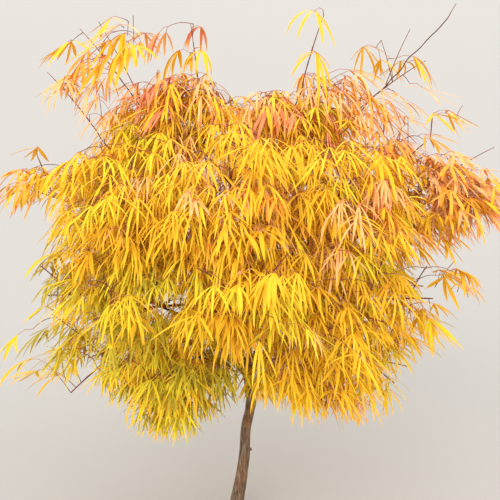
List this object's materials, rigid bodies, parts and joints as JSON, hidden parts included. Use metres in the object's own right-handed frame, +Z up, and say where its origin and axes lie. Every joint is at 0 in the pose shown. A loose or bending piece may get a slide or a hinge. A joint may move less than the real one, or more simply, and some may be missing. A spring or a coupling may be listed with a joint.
{
  "type": "japanese maple tree",
  "caption": "Small Japanese maple with one slender leaning stem, arching boughs and a broad mounded crown of hanging string-like leaves in autumn gold and amber.",
  "frame": {"origin": "middle of the trunk's flat cut at ground level", "axes": "+Z up along the tree, +X to its right and -Y towards its front, seen from the front"},
  "size_m": [1.2339, 1.0161, 1.2791],
  "materials": {
    "trunk_bark": "matt, finely fissured bark",
    "bough_bark": "matt, smooth young bark",
    "gold_leaves": "soft, slightly glossy autumn leaves",
    "amber_leaves": "soft, slightly glossy autumn leaves",
    "salmon_leaves": "soft, slightly glossy autumn leaves",
    "lemon_leaves": "soft, slightly glossy autumn leaves"
  },
  "bodies": {
    "root": {"trunk": "trunk_bark", "top_left_bough": "bough_bark", "left_shoulder_bough": "bough_bark", "right_shoulder_bough": "bough_bark", "front_mid_bough": "bough_bark", "back_right_mid_bough": "bough_bark", "left_mid_bough": "bough_bark", "right_mid_bough": "bough_bark", "back_left_mid_bough": "bough_bark", "top_right_bough": "bough_bark", "top_spray_bough": "bough_bark", "upper_left_spray_bough": "bough_bark", "upper_left_outer_bough": "bough_bark", "upper_right_spray_bough": "bough_bark", "upper_right_outer_bough": "bough_bark", "front_left_upper_bough": "bough_bark", "front_upper_bough": "bough_bark", "front_right_upper_bough": "bough_bark", "back_left_upper_bough": "bough_bark", "back_right_upper_bough": "bough_bark", "front_left_mid_bough": "bough_bark", "front_right_mid_bough": "bough_bark", "left_low_bough": "bough_bark", "low_left_front_bough": "bough_bark", "low_right_front_bough": "bough_bark", "right_low_bough": "bough_bark", "back_low_bough": "bough_bark", "right_lone_bough": "bough_bark", "top_twig_bough": "bough_bark", "bare_twig_bough": "bough_bark", "top_left": "amber_leaves", "left_shoulder": "amber_leaves", "right_shoulder": "salmon_leaves", "front_mid": "gold_leaves", "back_right_mid": "gold_leaves", "left_mid": "gold_leaves", "right_mid": "gold_leaves", "back_left_mid": "gold_leaves", "top_right": "amber_leaves", "top_spray": "amber_leaves", "upper_left_spray": "salmon_leaves", "upper_left_outer": "amber_leaves", "upper_right_spray": "amber_leaves", "upper_right_outer": "salmon_leaves", "front_left_upper": "gold_leaves", "front_upper": "amber_leaves", "front_right_upper": "amber_leaves", "back_left_upper": "gold_leaves", "back_right_upper": "gold_leaves", "front_left_mid": "gold_leaves", "front_right_mid": "gold_leaves", "left_low": "gold_leaves", "low_left_front": "lemon_leaves", "low_right_front": "lemon_leaves", "right_low": "gold_leaves", "back_low": "lemon_leaves", "right_lone": "gold_leaves", "top_twig": "salmon_leaves"}
  },
  "joints": []
}
